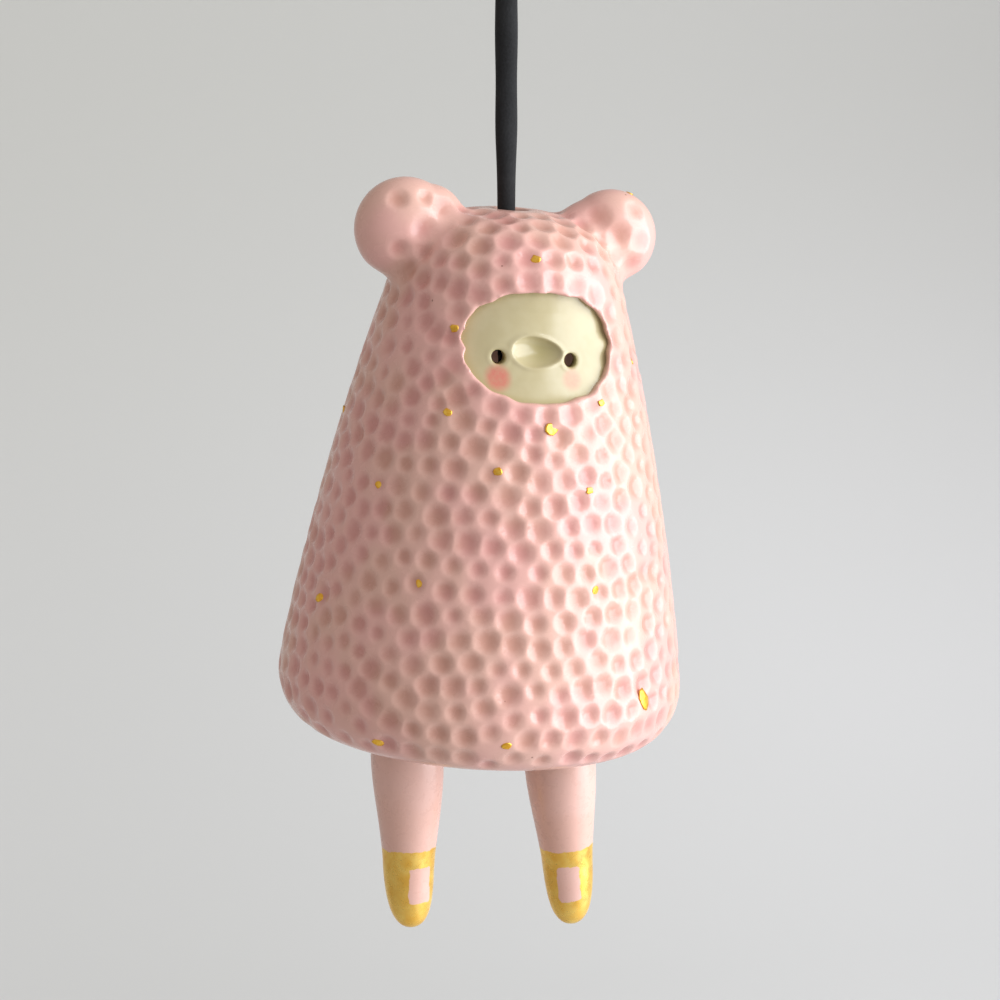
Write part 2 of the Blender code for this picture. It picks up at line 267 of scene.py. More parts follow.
def modified(ob, kind, **settings):
    """Adds a modifier and makes it real."""
    modifier = ob.modifiers.new(kind, kind)
    for key, value in settings.items():
        setattr(modifier, key, value)
    graph = bpy.context.evaluated_depsgraph_get()
    mesh = bpy.data.meshes.new_from_object(ob.evaluated_get(graph), depsgraph=graph)
    ob.modifiers.clear()
    old = ob.data
    ob.data = mesh
    bpy.data.meshes.remove(old)
    return ob


def cut(ob, cutter):
    modified(ob, "BOOLEAN", operation="DIFFERENCE", solver="EXACT", object=cutter)
    bpy.data.objects.remove(cutter)


def joined(name, objects):
    bm = bmesh.new()
    for ob in objects:
        bm.from_mesh(ob.data)
        bpy.data.objects.remove(ob)
    return bm_object(name, bm)


def points_of(ob):
    co = np.empty(len(ob.data.vertices) * 3, np.float32)
    ob.data.vertices.foreach_get("co", co)
    return co.reshape(-1, 3).astype(float)


def set_points(ob, points):
    ob.data.vertices.foreach_set("co", np.ascontiguousarray(points, np.float32).ravel())
    ob.data.update()


def set_attribute(ob, name, values):
    layer = ob.data.attributes.new(name, "FLOAT", "POINT")
    layer.data.foreach_set("value", np.ascontiguousarray(values, np.float32))


def kd_tree(places):
    tree = KDTree(len(places))
    for i, place in enumerate(places):
        tree.insert(place, i)
    tree.balance()
    return tree


def surface_of(ob):
    return BVHTree.FromObject(ob, bpy.context.evaluated_depsgraph_get())


def soften(ob, weights, passes):
    """Smooths the points that have weights, which count in steps of a twentieth."""
    group = ob.vertex_groups.new(name="soften")
    steps = np.round(np.clip(weights, 0, 1) * 20).astype(int)
    for step in range(1, 21):
        group.add([int(i) for i in np.flatnonzero(steps == step)], step / 20, "REPLACE")
    modified(ob, "SMOOTH", factor=0.5, iterations=passes, vertex_group="soften")
    ob.vertex_groups.clear()


def smoothstep(low, high, values):
    t = np.clip((np.asarray(values, float) - low) / (high - low), 0, 1)
    return t * t * (3 - 2 * t)


def finished(ob, place, body, material, replaced=()):
    """Puts a piece shaped in millimetres in its place, and gives it its material and body."""
    ob.data.transform(place @ Matrix.Scale(MM, 4))
    ob.data.update()
    ob.data.shade_smooth()
    ob.data.materials.clear()
    ob.data.materials.append(material)
    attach(ob, body)
    if replaced:
        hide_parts(*replaced)
    return ob


def frames(points):
    """Each point of a path, with two directions across it that turn as little as they can."""
    across = None
    for i, point in enumerate(points):
        along = (points[min(i + 1, len(points) - 1)] - points[max(i - 1, 0)]).normalized()
        if across is None:
            across = Vector((1, 0, 0)) if abs(along.x) < 0.9 else Vector((0, 1, 0))
        across = (across - along * across.dot(along)).normalized()
        yield point, across, along.cross(across)


def swept(name, path, section, sides=20):
    """A tube along path. section(share) gives its two half widths and its twist in radians."""
    bm = bmesh.new()
    rings = []
    for i, (point, across, other) in enumerate(frames([Vector(p) for p in path])):
        wide, thick, twist = section(i / (len(path) - 1))
        ring = []
        for k in range(sides):
            a = 2 * pi * k / sides
            u, v = wide * cos(a), thick * sin(a)
            x, y = u * cos(twist) - v * sin(twist), u * sin(twist) + v * cos(twist)
            ring.append(bm.verts.new(point + across * x + other * y))
        rings.append(ring)
    skin_rings(bm, rings)
    return solid_object(name, bm)


def skin_rings(bm, rings, ends=True):
    """Faces between each ring of vertices and the next, and over both ends."""
    sides = len(rings[0])
    for ring, following in zip(rings, rings[1:]):
        for k in range(sides):
            j = (k + 1) % sides
            bm.faces.new((ring[k], ring[j], following[j], following[k]))
    if ends:
        bm.faces.new(rings[0][::-1])
        bm.faces.new(rings[-1])


# ---------------- materials


def add(tree, kind, inputs=None, **settings):
    node = tree.nodes.new(kind)
    for key, value in settings.items():
        setattr(node, key, value)
    for socket, value in (inputs or {}).items():
        if isinstance(value, bpy.types.NodeSocket):
            tree.links.new(value, node.inputs[socket])
        else:
            node.inputs[socket].default_value = value
    return node


def new_material(name, roughness, **sockets):
    material = bpy.data.materials.new(name)
    material.use_nodes = True
    tree = material.node_tree
    shader = tree.nodes["Principled BSDF"]
    shader.inputs["Roughness"].default_value = roughness
    for socket, value in sockets.items():
        shader.inputs[socket.replace("_", " ")].default_value = value
    return material, tree, shader


def millimetres(tree):
    """The piece's own coordinates, in millimetres."""
    where = add(tree, "ShaderNodeTexCoord").outputs["Object"]
    scaled = add(tree, "ShaderNodeVectorMath", {0: where, "Scale": 1 / MM}, operation="SCALE")
    return scaled.outputs[0]


def noise(tree, scale, detail=2.0, vector=None):
    """Noise with features of about 1/scale millimetres."""
    vector = vector or millimetres(tree)
    inputs = {"Vector": vector, "Scale": scale, "Detail": detail}
    return add(tree, "ShaderNodeTexNoise", inputs).outputs["Fac"]


def cells(tree, scale):
    """The distance from the nearest of scattered points, about 1/scale millimetres apart."""
    inputs = {"Vector": millimetres(tree), "Scale": scale}
    return add(tree, "ShaderNodeTexVoronoi", inputs).outputs["Distance"]


def ranged(tree, value, low, high, to_low=0.0, to_high=1.0):
    inputs = {0: value, 1: low, 2: high, 3: to_low, 4: to_high}
    node = add(tree, "ShaderNodeMapRange", inputs, interpolation_type="SMOOTHSTEP")
    return node.outputs[0]


def mixed(tree, share, first, second):
    node = add(tree, "ShaderNodeMix", {0: share, 6: first, 7: second}, data_type="RGBA")
    return node.outputs[2]


def two_tone(tree, value, low, high, first, second):
    """Two display colours, mixed as a value goes from low to high."""
    return mixed(tree, ranged(tree, value, low, high), srgb(*first), srgb(*second))


def calculated(tree, operation, first, second):
    return add(tree, "ShaderNodeMath", {0: first, 1: second}, operation=operation).outputs[0]


def paint(tree, shader, colour):
    tree.links.new(colour, shader.inputs["Base Color"])


def attribute(tree, name):
    return add(tree, "ShaderNodeAttribute", attribute_name=name).outputs["Fac"]


def bump(tree, shader, height, strength, distance):
    inputs = {"Height": height, "Strength": strength, "Distance": distance * MM}
    node = add(tree, "ShaderNodeBump", inputs)
    tree.links.new(node.outputs[0], shader.inputs["Normal"])


def mottled(name, roughness, scale, detail, low, high, first, second, **sockets):
    """A material of two display colours, mottled by noise, and the noise itself."""
    material, tree, shader = new_material(name, roughness, **sockets)
    pattern = noise(tree, scale, detail)
    paint(tree, shader, two_tone(tree, pattern, low, high, first, second))
    return material, tree, shader, pattern


def hood_material():
    """Pink glaze, thin and pale on the ridges, pooled and rosy in the dimples."""
    material, tree, shader = new_material("hood_glaze", 0.24, IOR=1.5)
    pool = attribute(tree, "pool")
    patches = noise(tree, 0.09)
    uneven = noise(tree, 0.55, 3.0)
    thick = calculated(tree, "ADD", pool, ranged(tree, uneven, 0.3, 0.7, -0.12, 0.12))
    ridge = two_tone(tree, patches, 0.35, 0.65, (234, 181, 171), (230, 185, 169))
    deep = two_tone(tree, patches, 0.4, 0.6, (213, 151, 143), (210, 157, 140))
    colour = mixed(tree, ranged(tree, thick, 0.0, 1.0), ridge, deep)
    rim = attribute(tree, "rim")
    # The opening's wall: the face's glaze run over the pink, darkened further as painted shade.
    colour = mixed(tree, calculated(tree, "MULTIPLY", rim, 0.75), colour, srgb(206, 176, 150))
    inside = attribute(tree, "inside")
    colour = mixed(tree, inside, colour, srgb(232, 206, 192))
    speck = ranged(tree, cells(tree, 0.16), 0.018, 0.032, 1.0, 0.0)
    colour = mixed(tree, calculated(tree, "MULTIPLY", speck, 0.7), colour, srgb(120, 72, 58))
    paint(tree, shader, colour)
    rough = ranged(tree, noise(tree, 0.35), 0.3, 0.7, 0.2, 0.3)
    tree.links.new(rough, shader.inputs["Roughness"])
    bump(tree, shader, noise(tree, 1.3, 3.0), 0.25, 0.05)
    return material


def face_material():
    """Cream glaze, pooled to olive in the dent and round the rim, with two blushed cheeks. The
    dent's olive is heavier on its right side, and that extra weight is painted shade.
    """
    material, tree, shader = new_material("face_glaze", 0.2, IOR=1.5)
    uneven = noise(tree, 0.3)
    cream = two_tone(tree, uneven, 0.3, 0.7, (200, 189, 151), (194, 182, 142))
    # The olive is pooled glaze; in the nose's dent its extra weight on the right side is painted
    # shade.
    colour = mixed(tree, attribute(tree, "pool"), cream, srgb(176, 164, 116))
    mottled = ranged(tree, noise(tree, 2.2, 3.0), 0.25, 0.75, 0.75, 1.0)
    blush = calculated(tree, "MULTIPLY", attribute(tree, "blush"), mottled)
    colour = mixed(tree, blush, colour, srgb(216, 128, 112))
    paint(tree, shader, colour)
    bump(tree, shader, noise(tree, 0.8), 0.15, 0.05)
    return material


def leg_material():
    """Pink glaze with shoes painted in gold lustre, whose edges a hand has brushed."""
    material, tree, shader = new_material("leg_glaze", 0.22, IOR=1.5)
    uneven = noise(tree, 0.12)
    pink = two_tone(tree, uneven, 0.35, 0.65, (235, 191, 178), (231, 185, 170))
    brushed = noise(tree, 0.9, 3.0)
    ragged = ranged(tree, brushed, 0.2, 0.8, -0.2, 0.2)
    edge = calculated(tree, "ADD", attribute(tree, "shoe"), ragged)
    gold = ranged(tree, edge, -0.06, 0.06)
    worn = ranged(tree, noise(tree, 0.5, 3.0), 0.3, 0.7)
    lustre = mixed(tree, worn, srgb(255, 214, 112), srgb(244, 190, 80))
    paint(tree, shader, mixed(tree, gold, pink, lustre))
    tree.links.new(calculated(tree, "MULTIPLY", gold, 0.6), shader.inputs["Metallic"])
    rough = ranged(tree, noise(tree, 0.8, 4.0), 0.25, 0.75, 0.22, 0.4)
    tree.links.new(rough, shader.inputs["Roughness"])
    return material


def gold_material():
    """Gold lustre on a fleck, a little worn."""
    colours = (255, 208, 90), (240, 176, 52)
    return mottled("gold_fleck", 0.35, 1.5, 2.0, 0.3, 0.7, *colours, Metallic=0.8)[0]


def cord_material():
    """Soft black lace with a short nap."""
    sheen = {"Sheen_Weight": 0.22, "Sheen_Roughness": 0.45}
    material, tree, shader = new_material("cord_lace", 0.88, **sheen)
    shader.inputs["Sheen Tint"].default_value = srgb(150, 154, 156)
    nap = noise(tree, 3.0, 4.0)
    worn = noise(tree, 0.25, 3.0)
    colour = two_tone(tree, nap, 0.3, 0.75, (9, 9, 11), (21, 22, 24))
    colour = mixed(tree, ranged(tree, worn, 0.45, 0.75, 0.0, 0.5), colour, srgb(33, 34, 35))
    paint(tree, shader, colour)
    bump(tree, shader, nap, 0.5, 0.15)
    return material


def wood_material():
    """Turned wood: rings round the bead's bore, with fine pores along it."""
    material, tree, shader = new_material("bead_wood", 0.5)
    where = millimetres(tree)
    grain = add(tree, "ShaderNodeVectorMath", {0: where, 1: (1.0, 1.0, 0.12)}, operation="MULTIPLY")
    rings = noise(tree, 1.1, 3.0, grain.outputs[0])
    pores = noise(tree, 5.0, 3.0, grain.outputs[0])
    colour = two_tone(tree, rings, 0.35, 0.65, (196, 152, 104), (150, 102, 62))
    colour = mixed(tree, ranged(tree, pores, 0.6, 0.75, 0.0, 0.6), colour, srgb(98, 62, 38))
    paint(tree, shader, colour)
    bump(tree, shader, pores, 0.4, 0.06)
    return material


def leather_material():
    """Brown leather with a pebbled grain and darker stains."""
    colours = (122, 80, 52), (92, 56, 36)
    material, tree, shader, _ = mottled("washer_leather", 0.62, 0.4, 3.0, 0.3, 0.7, *colours)
    bump(tree, shader, cells(tree, 2.6), 0.5, 0.1)
    return material


def thread_material():
    """Waxed linen thread."""
    look = (6.0, 3.0, 0.3, 0.7, (222, 210, 186), (184, 168, 138))
    material, tree, shader, fibres = mottled("waxed_thread", 0.6, *look, Sheen_Weight=0.2)
    bump(tree, shader, fibres, 0.4, 0.05)
    return material


def wire_material():
    """Kiln wire, dulled by the firing."""
    look = (2.5, 4.0, 0.35, 0.65, (150, 146, 140), (96, 88, 80))
    material, tree, shader, scale = mottled("kiln_wire", 0.45, *look, Metallic=1.0)
    tree.links.new(ranged(tree, scale, 0.3, 0.7, 0.35, 0.65), shader.inputs["Roughness"])
    return material


def clay_material():
    """Unglazed porcelain, sponged smooth."""
    look = (0.9, 4.0, 0.3, 0.7, (236, 222, 208), (222, 202, 186))
    material, tree, shader, _ = mottled("biscuit_clay", 0.78, *look)
    bump(tree, shader, noise(tree, 3.0, 4.0), 0.35, 0.1)
    return material


def backdrop_material():
    """Matt pale grey paper, with painted shade: darker towards -X and higher up."""
    material, tree, shader = new_material("backdrop", 0.95, Specular_IOR_Level=0.1)
    where = add(tree, "ShaderNodeTexCoord").outputs["Object"]
    parts = add(tree, "ShaderNodeSeparateXYZ", {0: where})
    paper = noise(tree, 0.0012)
    # Painted shade: the paper darkens towards -X, away from the window light.
    across = ranged(tree, parts.outputs["X"], 0.05, 1.1)
    colour = mixed(tree, across, srgb(205, 206, 205), srgb(237, 239, 241))
    colour = mixed(tree, ranged(tree, paper, 0.3, 0.7, 0.0, 0.12), colour, srgb(212, 213, 211))
    # Painted shade: the paper darkens higher up the wall.
    upwards = ranged(tree, parts.outputs["Z"], -0.7, -0.1, 0.0, 0.6)
    colour = mixed(tree, upwards, colour, srgb(196, 196, 190))
    paint(tree, shader, colour)
    return material


# ---------------- camera, light and floor


def facing(azimuth, elevation):
    """The direction towards a viewer: degrees from the front towards +X, and up."""
    a, e = radians(azimuth), radians(elevation)
    return Vector((sin(a) * cos(e), -cos(a) * cos(e), sin(e)))


def aimed(name, data, target, away, distance):
    """A camera or lamp that looks back at its target."""
    ob = bpy.data.objects.new(name, data)
    ob.location = target + away * distance
    ob.rotation_mode = "QUATERNION"
    ob.rotation_quaternion = away.to_track_quat("Z", "Y")
    bpy.context.scene.collection.objects.link(ob)
    return ob


def add_camera(crown):
    """The camera, aimed at a point below the bell's crown."""
    data = bpy.data.cameras.new("camera")
    data.lens = LENS
    data.sensor_width = 36.0
    turn = radians(VIEW_AZIMUTH)
    right = Vector((cos(turn), sin(turn), 0.0))
    aim = Vector((0.0, 0.0, crown.z - AIM_BELOW_CROWN)) + right * AIM_SIDE
    away = facing(VIEW_AZIMUTH, VIEW_PITCH)
    bpy.context.scene.camera = aimed("camera", data, aim, away, VIEW_DISTANCE)


def add_light(name, away, distance, size, watts, colour=(1.0, 1.0, 1.0)):
    """A soft area light aimed at the bell's middle."""
    data = bpy.data.lights.new(name, "AREA")
    data.shape = "RECTANGLE"
    data.size, data.size_y = size
    data.energy = watts
    data.color = colour
    lamp = aimed(name, data, Vector(LIT_POINT), away, distance)
    lamp.visible_camera = False
    return lamp


def add_sweep():
    """A paper sweep: a floor well below the bell that curves up into a wall behind it."""
    floor, wall, bend, half, top = -0.75, 1.9, 0.7, 4.0, 3.5
    profile = [(-half, floor), (wall - bend, floor)]
    for i in range(1, 13):
        a = pi / 2 * i / 12
        profile.append((wall - bend + bend * sin(a), floor + bend - bend * cos(a)))
    profile.append((wall, top))
    bm = bmesh.new()
    left = [bm.verts.new((-half, y, z)) for y, z in profile]
    right = [bm.verts.new((half, y, z)) for y, z in profile]
    for i in range(len(profile) - 1):
        bm.faces.new((left[i], right[i], right[i + 1], left[i + 1]))
    sweep = bm_object("paper_sweep", bm)
    sweep.data.shade_smooth()
    sweep.data.materials.append(backdrop_material())


def add_lights():
    """A pale room, a window on the figure's left and a light for the wall behind the bell."""
    world = bpy.data.worlds.new("studio")
    world.use_nodes = True
    background = world.node_tree.nodes["Background"]
    background.inputs["Color"].default_value = srgb(220, 215, 212)
    background.inputs["Strength"].default_value = 0.74
    bpy.context.scene.world = world
    daylight = (0.96, 1.0, 1.06)
    add_light("window", facing(60.0, 10.0), 1.0, (1.0, 1.2), 19.0, daylight)
    wall = add_light("wall_light", facing(170.0, -10.0), 0.7, (1.8, 0.4), 5.0)
    wall.rotation_quaternion = Vector((0.0, -1.0, 0.3)).to_track_quat("Z", "Y")
    view = bpy.context.scene.view_settings
    view.view_transform = "Standard"
    view.look = "None"


# ---------------- cord and its knots


def lace_section(t):
    """The hanging lace's half widths and twist: round below, flatter above, never quite even."""
    wide = 1.3 + 0.34 * smoothstep(0.25, 0.6, t) + 0.04 * sin(23.0 * t + 1.0)
    return (wide, 1.2 + 0.04 * sin(17.0 * t), radians(12.0 * sin(5.0 * t)))


def hung(ob, node):
    return finished(ob, Matrix(), "hanger", black, [node])


def loop_route(foot):
    """The loop's points: out of the knot, over the hook and back down beside itself."""
    half = LOOP_HALF_WIDTH
    top = CORD_D / 2 - half
    right = bezier((1.6, foot), (1.9, foot + 3.0), (half, top - 8.0), (half, top), 16)
    over = [(half * cos(pi * i / 20), top + half * sin(pi * i / 20)) for i in range(21)]
    left = [(-x, z) for x, z in reversed(right)]
    return [(x, 0.0, z) for x, z in right[:-1] + over + left[1:]]


def make_cord():
    """The lace up from the bead to the loop's knot, the loop above it, and both knots."""
    low = crown_z - PIVOT_DEPTH - BEAD_R
    high = -KNOT_BELOW_HOOK - KNOT_R - GAP
    path = [(0.0, 0.0, low + (high - low) * i / 60) for i in range(61)]
    cord = swept("hanging_lace", path, lace_section)
    hung(cord, "hanging_cord")
    foot = -KNOT_BELOW_HOOK + KNOT_R + GAP
    loop_path = loop_route(foot)
    loop = swept("loop_lace", loop_path, lambda t: (1.3 + 0.05 * sin(14 * t), 1.2, 0.0))
    hung(loop, "hanging_loop")

    knot = hung(make_wraps("loop_wraps", **LOOP_KNOT), "loop_knot")
    under = low - GAP
    levels = [under + level for level in END_KNOT_LEVELS]
    end = make_wraps("end_wraps", levels=levels, **END_KNOT)
    tail_path = [(0.0, 0.0, under - 0.2 - CORD_TAIL * i / 20) for i in range(21)]
    tail = swept("cord_tail", tail_path, lambda t: (1.25 - 0.2 * t**6, 1.1 - 0.15 * t**6, t))
    end = hung(joined("end_wraps", [end, tail]), "stopper_knot")


def make_wraps(name, coil_r, lace_r, levels, turns, flat):
    """A barrel knot: the lace wound round itself, over a core of the strands inside it."""
    low, high = levels
    steps = int(28 * turns)
    coil = []
    for i in range(steps + 1):
        t = i / steps
        a = 2 * pi * turns * t + 0.4
        r = coil_r * (1.0 - 0.55 * smoothstep(0.93, 1.0, t) - 0.55 * smoothstep(0.07, 0.0, t))
        coil.append((r * cos(a), flat * r * sin(a), low + (high - low) * t))
    wraps = swept(name + "_coil", coil, lambda t: (lace_r, lace_r * 0.94, 0.0), 14)
    core = [(0.0, 0.0, low - 0.9 + (high - low + 1.9) * i / 8) for i in range(9)]
    inner = swept(name + "_core", core, lambda t: (coil_r * 0.75, coil_r * 0.62, 0.0), 16)
    return joined(name, [wraps, inner])


# ---------------- the hood


def scalloped_window():
    """The hood's opening, whose edge dips at each dimple that meets it."""
    outline = []
    for x, z in superellipse(FACE_HALF, FACE_POWER, 180):
        a = atan2(z / FACE_HALF[1], x / FACE_HALF[0])
        sides = 0.5 + 0.5 * abs(cos(a))
        lobes = 0.008 * sin(7 * a + 1.0) + 0.015 * sin(13 * a + 0.4) + 0.014 * sin(19 * a)
        grow = 1.0 + lobes * sides
        outline.append((FACE[0] + x * grow, -FACE[1] + z * grow))
    return outline


def dimple_rows(rng):
    """Dimple centres as [reach along the outline, angle], as many to each level as fit."""
    spots = []
    reach = np.interp(4.6, OUTLINE[:30, 0], REACH[:30])
    end = REACH[-1] - 3.4
    while reach < end:
        radius = np.interp(reach, REACH, OUTLINE[:, 0])
        count = max(6, round(2 * pi * radius / DIMPLE_PITCH))
        turn = rng.random()
        for k in range(count):
            angle = 2 * pi * (k + turn + rng.uniform(-0.45, 0.45)) / count
            spots.append([reach + rng.uniform(-1.6, 1.6), angle])
        reach += DIMPLE_PITCH * 0.85
    return spots


def at_reach(reach, angle):
    """A point of the turned body, by its distance along the outline and its angle."""
    radius = float(np.interp(reach, REACH, OUTLINE[:, 0]))
    depth = float(np.interp(reach, REACH, OUTLINE[:, 1]))
    return Vector((radius * cos(angle), radius * sin(angle), -depth))


def relax(spots, fixed):
    """Pushes the dimples apart until they lie evenly, as a hand spaces them."""
    near = DIMPLE_PITCH * 1.06
    low, high = DIMPLES_FROM, REACH[-1] - DIMPLES_END
    for _ in range(5):
        places = [at_reach(*s) for s in spots] + fixed
        tree = kd_tree(places)
        for i, spot in enumerate(spots):
            push = Vector()
            for place, j, gap in tree.find_range(places[i], near):
                if j != i and gap > 1e-6:
                    push += (places[i] - place) / gap * (near - gap) * 0.3
            angle = spot[1]
            around = Vector((-sin(angle), cos(angle), 0.0))
            along = at_reach(spot[0] + 0.1, angle) - at_reach(spot[0] - 0.1, angle)
            spot[0] = min(max(spot[0] + push.dot(along.normalized()), low), high)
            spot[1] += push.dot(around) / max(hypot(places[i].x, places[i].y), 3.0)


def window_ring():
    """Dimples whose edges bite into the rim of the face's opening."""
    ring = []
    outline = superellipse(FACE_HALF, FACE_POWER, 720, grow=1.75)
    steps = [0.0]
    for a, b in zip(outline, outline[1:] + outline[:1]):
        steps.append(steps[-1] + hypot(b[0] - a[0], b[1] - a[1]))
    for k in range(RING_DIMPLES):
        i = int(np.searchsorted(steps, steps[-1] * (k + 0.3) / RING_DIMPLES)) % len(outline)
        ring.append(on_front(FACE[0] + outline[i][0], FACE[1] - outline[i][1]))
    return ring


def ear_dimples(rng):
    """The ears' dimples, the same on their fronts and backs, as (centre, radius, depth)."""
    dimples = []
    for side, listed in EAR_DIMPLES.items():
        x, depth, radius = EARS[side]
        for across, up, size in listed:
            share = max(1 - (across**2 + up**2) / radius**2, 0.02) ** 0.5
            for front in (-1, 1):
                y = front * radius * EAR_THICKNESS * share
                deep = rng.uniform(0.3, 0.5)
                dimples.append((Vector((x + across, y, up - depth)), size * 1.3, deep))
    return dimples


def hood_dimples():
    """Every dimple as (centre, radius, depth)."""
    rng = Random(7)
    ring = window_ring()
    spots = dimple_rows(rng)
    relax(spots, ring)
    dimples = [(p, rng.uniform(1.7, 2.2), rng.uniform(0.4, 0.65)) for p in ring]
    for spot in spots:
        place = at_reach(*spot)
        share = rng.random()
        size = DIMPLE_R[0] + (DIMPLE_R[1] - DIMPLE_R[0]) * share
        deep = DIMPLE_DEEP[0] + (DIMPLE_DEEP[1] - DIMPLE_DEEP[0]) * (share + rng.random()) / 2
        in_window = place.y <= 0 and window_share(place.x, -place.z, 3.4) < 1
        if not in_window and ear_distance(np.array([place]))[0] >= 0.4:
            dimples.append((place, size, deep))
    return dimples + ear_dimples(rng)


def ear_distance(points):
    """How far points are outside the nearer ear's ellipsoid, roughly."""
    gaps = []
    for x, depth, radius in EARS.values():
        offset = (points - np.array([x, 0.0, -depth])) / np.array([1.0, EAR_THICKNESS, 1.0])
        gaps.append(np.linalg.norm(offset, axis=1) - radius)
    return np.minimum(*gaps)


def head_distance(points):
    """How far points are outside the turned body near its top, roughly."""
    rho = np.hypot(points[:, 0], points[:, 1])
    depth = -points[:, 2]
    sideways = rho - radius_at(np.minimum(depth, 14.0))
    upwards = np.interp(rho, OUTLINE[:30, 0], OUTLINE[:30, 1]) - depth
    upwards = np.where(rho < SHOULDER[0], upwards, 99.0)
    nearer = np.minimum(np.abs(sideways), np.abs(upwards))
    return np.where(depth < 0.0, np.maximum(upwards, 0.0), nearer)


def window_share(x, depth, grow=0.0):
    """Where points lie in the opening, grown a little: 0 in its middle, 1 on its edge."""
    u = np.abs(x - FACE[0]) / (FACE_HALF[0] + grow)
    v = np.abs(depth - FACE[1]) / (FACE_HALF[1] + grow)
    return (u**FACE_POWER + v**FACE_POWER) ** (1 / FACE_POWER)


def sunk_by(points):
    """How far points are inside the turned body's outer surface."""
    return radius_at(-points[:, 2]) - np.hypot(points[:, 0], points[:, 1])


def window_distance(points):
    """How far points are from the edge of the face's opening, roughly."""
    share = window_share(points[:, 0], -points[:, 2])
    gap = np.hypot((share - 1) * 9.0, np.maximum(sunk_by(points), 0.0))
    return np.where(points[:, 1] < 0, gap, 99.0)


def window_wall(points):
    """1 on the opening's side wall, below the hood's surface, where the face's glaze has run and
    where the wall is darkened with painted shade.
    """
    share = window_share(points[:, 0], -points[:, 2])
    front = points[:, 1] < 0
    return front * smoothstep(1.10, 1.03, share) * smoothstep(0.45, 1.0, sunk_by(points))


def inside_of(points):
    """Whether points are on the hood's inner side of the middle of its wall."""
    middle = bell_outline(WALL / 2)
    depth = -points[:, 2]
    rho = np.hypot(points[:, 0], points[:, 1])
    return (depth > WALL / 2) & (rho < np.interp(depth, middle[:, 1], middle[:, 0]))


def hood_blank():
    """The hollow body with its opening, and its ears with the clay at their roots, in one skin."""
    half = WALL / 2
    turns = np.linspace(pi / 2, 3 * pi / 2, 9)[1:-1]
    lip = [(LIP[0] + half * cos(a), LIP[1] - half + half * sin(a)) for a in turns]
    outline = [tuple(p) for p in OUTLINE] + lip + [tuple(p) for p in bell_outline(WALL)[::-1]]
    body = turned("body", outline, 200, closed=True)
    cut(body, prism("window", scalloped_window(), -40.0, -6.0))
    pieces = [body]
    for x, depth, radius in [*EARS.values(), *EAR_ROOTS]:
        radii = (radius, radius * EAR_THICKNESS, radius)
        pieces.append(ball("ear", radii, (x, 0.0, -depth)))
    for ear in pieces[1:]:
        middle = [(0.0, half)] + [tuple(p) for p in bell_outline(half)] + [(0.0, LIP[1])]
        cut(ear, turned("head", middle, 120))
    hood = joined("hood", pieces)
    return modified(hood, "REMESH", mode="VOXEL", voxel_size=VOXEL)


def press_dimples(hood, inner):
    """Presses every dimple into the outer side, and says how full of glaze each point's is."""
    points = points_of(hood)
    tree = kd_tree(points)
    surface = surface_of(hood)
    deepest = np.zeros(len(points))
    filled = np.zeros(len(points))
    moves = np.zeros((len(points), 3))
    for place, size, deep in hood_dimples():
        centre, normal, _, gap = surface.find_nearest(place)
        if gap > 3.0:
            continue
        found = tree.find_range(centre, size)
        index = np.array([i for _, i, _ in found], int)
        share = np.array([d for _, _, d in found]) / size
        press = deep * (1 - share**2) ** 1.5 * ~inner[index]
        higher = press > deepest[index]
        deepest[index[higher]] = press[higher]
        filled[index[higher]] = press[higher] / deep * (0.5 + 0.75 * deep)
        moves[index[higher]] = -np.array(normal) * press[higher, None]
    set_points(hood, points + moves)
    return np.clip(filled, 0, 1)


def make_hood():
    """The porcelain body with its ears, pressed all over with dimples, in one skin of glaze."""
    hood = hood_blank()
    points = points_of(hood)
    crease = np.abs(ear_distance(points)) + head_distance(points)
    near_ears = (points[:, 2] > -16.0) & (np.abs(points[:, 0]) > 6.0)
    soften(hood, smoothstep(EAR_FILLET, 1.0, crease) * near_ears, 110)
    edge = window_distance(points_of(hood))
    soften(hood, smoothstep(WINDOW_ROUND, 0.3, edge), 10)
    modified(hood, "SMOOTH", factor=0.5, iterations=2)

    points = points_of(hood)
    inner = inside_of(points)
    wall = window_wall(points)
    set_attribute(hood, "pool", press_dimples(hood, inner))
    set_attribute(hood, "inside", inner.astype(float) * (1 - wall))
    set_attribute(hood, "rim", wall)
    modified(hood, "SMOOTH", factor=0.5, iterations=1)
    faces = len(hood.data.polygons) * 2
    if faces > HOOD_FACES:
        modified(hood, "DECIMATE", ratio=HOOD_FACES / faces)
    replaced = ["bell_shell", "left_ear", "right_ear"]
    return finished(hood, bell, "bell", hood_material(), replaced)


# ---------------- the face


def nose_dent(x, depth):
    """How deep the nose's dent is: a thumb's oval, a little narrower on one side."""
    across = (x - NOSE[0]) / NOSE_HALF[0]
    narrow = 1.0 - 0.2 * np.clip(across, -0.4, 1.0)
    up = (depth - NOSE[1] - 0.12 * across) / (NOSE_HALF[1] * narrow)
    share = across**2 + up**2
    bowl = np.clip(1 - share, 0, 1) ** 0.95 * (1.0 + 0.15 * across)
    lip = np.exp(-((np.sqrt(share) - 1.06) / 0.14) ** 2) * 0.12
    return NOSE_DEEP * bowl - lip


def face_front(x, depth, share):
    """How far forward the plate stands: hollowed, dented, and rolled in at the eyes' edges."""
    sink = nose_dent(x, depth) + 1.0 * (1 - share**2) - 0.3 * share**8
    for eye_x, eye_depth in EYES:
        gap = np.hypot(x - eye_x, depth - eye_depth) - EYE_R
        rolled = 0.12 * np.exp(-np.maximum(gap, 0) / 0.12)
        sink += rolled - 0.045 * np.exp(-(((gap - 0.5) / 0.3) ** 2))
    return np.sqrt((radius_at(depth) - FACE_SUNK) ** 2 - x**2) - sink


